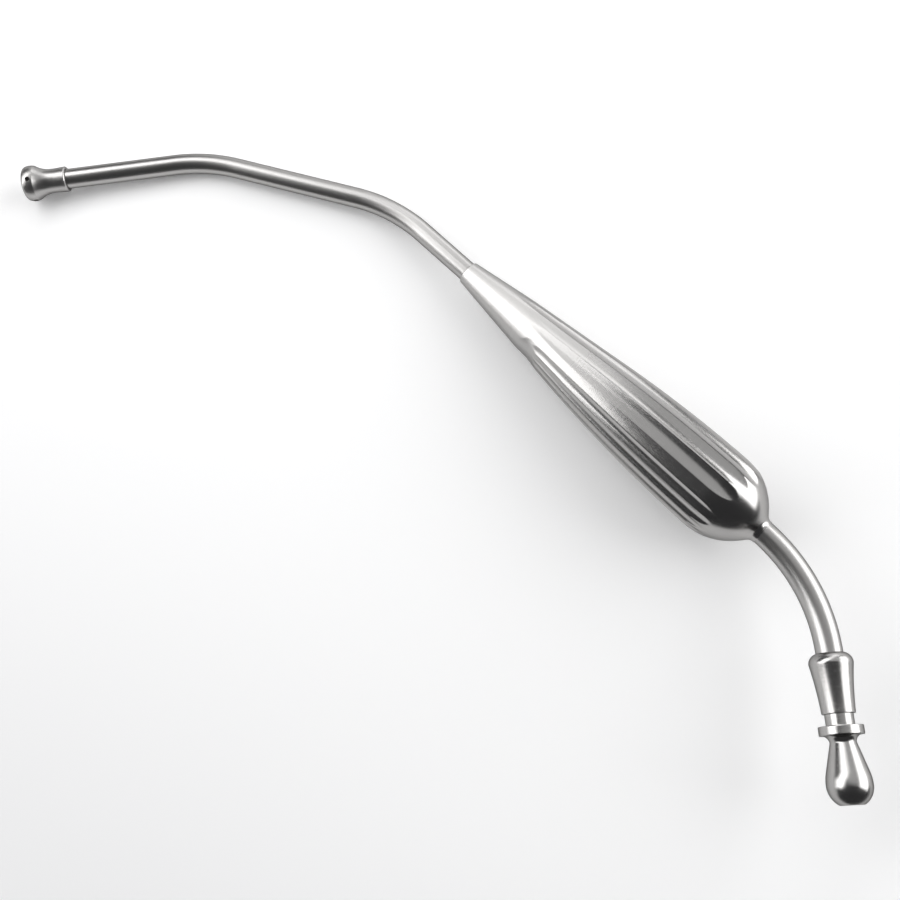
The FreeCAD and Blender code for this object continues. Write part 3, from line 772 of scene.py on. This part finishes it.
def make_floor():
    mesh = bpy.data.meshes.new("floor")
    mesh.from_pydata([(-3, -3, 0), (3, -3, 0), (3, 3, 0), (-3, 3, 0)], [], [(0, 1, 2, 3)])
    floor = linked("floor", mesh)
    material, nodes = new_material("paper")
    # The paper's colour holds painted shade: it darkens towards its near left corner, where the
    # light falls off, and drops to nearly black past its near right edge; a painted glow keeps it
    # pale to the camera and in the steel, except towards that left corner
    place = nodes.add("ShaderNodeTexCoord").outputs["Object"]
    # painted shade: the falloff darkens the paper and weakens its glow towards the near left
    # corner
    painted_falloff = ramp(nodes, along(nodes, place, (-0.166, -0.994, 0.0)), -0.22, 0.02, 0.0, 1.0)
    # painted shade: past the near right edge the paper's colour drops to 0.06 of its value
    painted_shade = ramp(nodes, along(nodes, place, (-0.902, 0.416, 0.0)), 0.19, 0.26, 1.0, 0.06)
    rays = nodes.add("ShaderNodeLightPath").outputs
    seen = nodes.value(rays["Is Camera Ray"]) + nodes.value(rays["Is Glossy Ray"])
    # painted light: a glow that camera, glossy and transmission rays see, though the floor is no
    # lamp
    painted_glow = painted_falloff * (seen + nodes.value(rays["Is Transmission Ray"])) * 0.11
    paper = nodes.add("ShaderNodeMix", dict(data_type="RGBA"), _0=painted_falloff,
                      _6=(0.88, 0.88, 0.885, 1), _7=(0.97, 0.97, 0.972, 1)).outputs[2]
    shader = nodes.add("ShaderNodeBsdfPrincipled", None, Base_Color=toned(nodes, paper, painted_shade),
                       Roughness=0.9, Specular_IOR_Level=0.2,
                       Emission_Color=grey(nodes, painted_glow), Emission_Strength=1.0)
    nodes.add("ShaderNodeOutputMaterial", None, Surface=shader.outputs[0])
    mesh.materials.append(material)


def soft_box(name, right, up, away, size, turn, radiance):
    # A panel that faces the part
    data = bpy.data.lights.new(name, "AREA")
    data.shape = "RECTANGLE"
    data.size, data.size_y = size
    data.energy = radiance * 4 * size[0] * size[1]
    lamp = linked(name, data)
    lean = math.hypot(right, up)
    sideways = (IMAGE_RIGHT * right + IMAGE_UP * up) * (sin(lean) / lean)
    place = (sideways + Vector((0, 0, cos(lean)))) * away
    facing = aim(place, -place, (0, 0, 1))
    lamp.matrix_world = facing @ Matrix.Rotation(math.radians(turn), 4, "Z")
    lamp.visible_camera = False


def make_light():
    world = bpy.data.worlds.new("room")
    bpy.context.scene.world = world
    world.use_nodes = True
    background = world.node_tree.nodes["Background"]
    background.inputs[0].default_value = ROOM
    background.inputs[1].default_value = 1.0
    for panel in PANELS:
        soft_box(*panel)


def main():
    make_camera()
    make_floor()
    make_light()
    front_tube(steel_for("tube_polish", EVEN, 0.30, 0.0005, dull=0.012, blotch=0.012))
    tail_tube(steel_for("tail_polish", EVEN, 0.30, 0.0005, dull=0.012, blotch=0.012))
    handle(steel_for("handle_satin", ROUND_THE_PIECE, 0.205, 0.007,
                     dull=0.04, blotch=0.02, rim=0.5, satin=0.10))
    suction_tip(steel_for("tip_polish", ROUND_THE_PIECE, 0.33, 0.008))
    hose_ferrule(steel_for("ferrule_polish", ROUND_THE_PIECE, 0.25, 0.008))
    hose_nipple(steel_for("nipple_polish", ROUND_THE_PIECE, 0.23, 0.008))


main()
